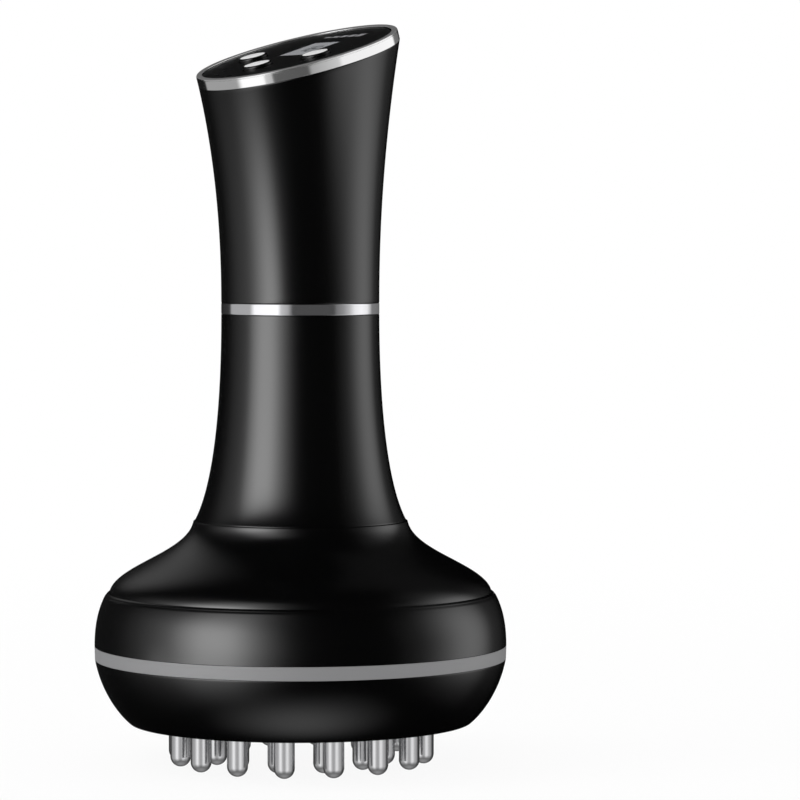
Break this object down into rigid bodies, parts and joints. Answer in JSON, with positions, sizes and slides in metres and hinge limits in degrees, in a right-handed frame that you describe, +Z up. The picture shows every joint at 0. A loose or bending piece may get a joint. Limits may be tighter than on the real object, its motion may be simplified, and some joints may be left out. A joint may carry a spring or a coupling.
{
  "type": "handheld body massager",
  "caption": "Cordless handheld body massager: a flared handle with a slanted button panel on a round vibrating head with rings of metal massage pins.",
  "frame": {"origin": "on the head's axis, level with the tips of the massage pins", "axes": "+Z up along the head and the handle, -Y towards the low side of the slanted panel"},
  "size_m": [0.1, 0.1, 0.1795],
  "materials": {
    "shell": "satin black moulded plastic",
    "bezel": "bright plated",
    "ring": "bright plated",
    "trim": "matte silver grey",
    "panel": "glossy black",
    "display": "smoked grey window",
    "button": "bright plated cap",
    "plate": "satin black moulded plastic",
    "pin": "polished stainless steel",
    "lens": "translucent dark red",
    "emitter": "clear red epoxy",
    "electronics": "dark moulded",
    "board": "green lacquered laminate",
    "plug_plastic": "natural nylon",
    "inner_plastic": "black moulded plastic",
    "steel_screw": "zinc plated",
    "cell": "steel can in a blue sleeve",
    "contact_metal": "plated spring metal",
    "socket_metal": "plated shell",
    "rubber": "soft black rubber",
    "motor_metal": "zinc plated",
    "magnet": "dark ferrite",
    "rotor_metal": "laminated iron with copper windings",
    "weight": "cast brass",
    "cable": "soft insulated lead"
  },
  "bodies": {
    "housing": {"panel_bezel": "bezel", "control_panel": "panel", "display_lens": "display", "display_module": "electronics", "switch_bodies": "inner_plastic", "control_board": "board", "board_chips": "electronics", "board_plugs": "plug_plastic", "board_screws": "steel_screw", "upper_handle_shell": "shell", "battery_cell": "cell", "battery_contacts": "contact_metal", "battery_cradle": "plug_plastic", "cradle_screws": "steel_screw", "charging_board": "board", "charging_socket": "socket_metal", "socket_tongue": "inner_plastic", "charging_board_screws": "steel_screw", "charging_board_plug": "plug_plastic", "handle_ring": "ring", "lower_handle_shell": "shell", "neck_screws": "steel_screw", "head_top_cover": "shell", "head_upper_shell": "shell", "head_trim_band": "trim", "head_lower_shell": "shell", "comb_plate": "plate", "comb_plate_screws": "steel_screw", "outer_pins": "pin", "inner_pins": "pin", "outer_contact_ring": "contact_metal", "inner_contact_ring": "contact_metal", "light_lens": "lens", "light_board": "board", "light_board_screws": "steel_screw", "light_emitters": "emitter", "light_plug": "plug_plastic", "contact_springs": "contact_metal", "motor_mount": "inner_plastic", "head_screws": "steel_screw", "motor_sleeve": "rubber", "motor_can": "motor_metal", "motor_end_cap": "inner_plastic", "motor_magnets": "magnet", "motor_plug": "plug_plastic", "motor_cable": "cable", "light_cable": "cable", "power_cable": "cable"},
    "left_key": {"left_button": "button", "left_plunger": "inner_plastic"},
    "low_key": {"low_button": "button", "low_plunger": "inner_plastic"},
    "right_key": {"right_button": "button", "right_plunger": "inner_plastic"},
    "rotor": {"motor_shaft": "motor_metal", "rotor_core": "rotor_metal", "eccentric_weight": "weight"}
  },
  "joints": [
    {"name": "left_key_press", "type": "slide", "parent": "housing", "child": "left_key", "axis": [0, 0.2924, -0.9563], "range_m": [0, 0.0005], "stiffness_N_per_m": 700},
    {"name": "low_key_press", "type": "slide", "parent": "housing", "child": "low_key", "axis": [0, 0.2924, -0.9563], "range_m": [0, 0.0005], "stiffness_N_per_m": 700},
    {"name": "right_key_press", "type": "slide", "parent": "housing", "child": "right_key", "axis": [0, 0.2924, -0.9563], "range_m": [0, 0.0005], "stiffness_N_per_m": 700},
    {"name": "rotor_spin", "type": "hinge", "parent": "housing", "child": "rotor", "pos_m": [0, 0, 0.0425], "axis": [0, 0, 1], "continuous": true}
  ]
}
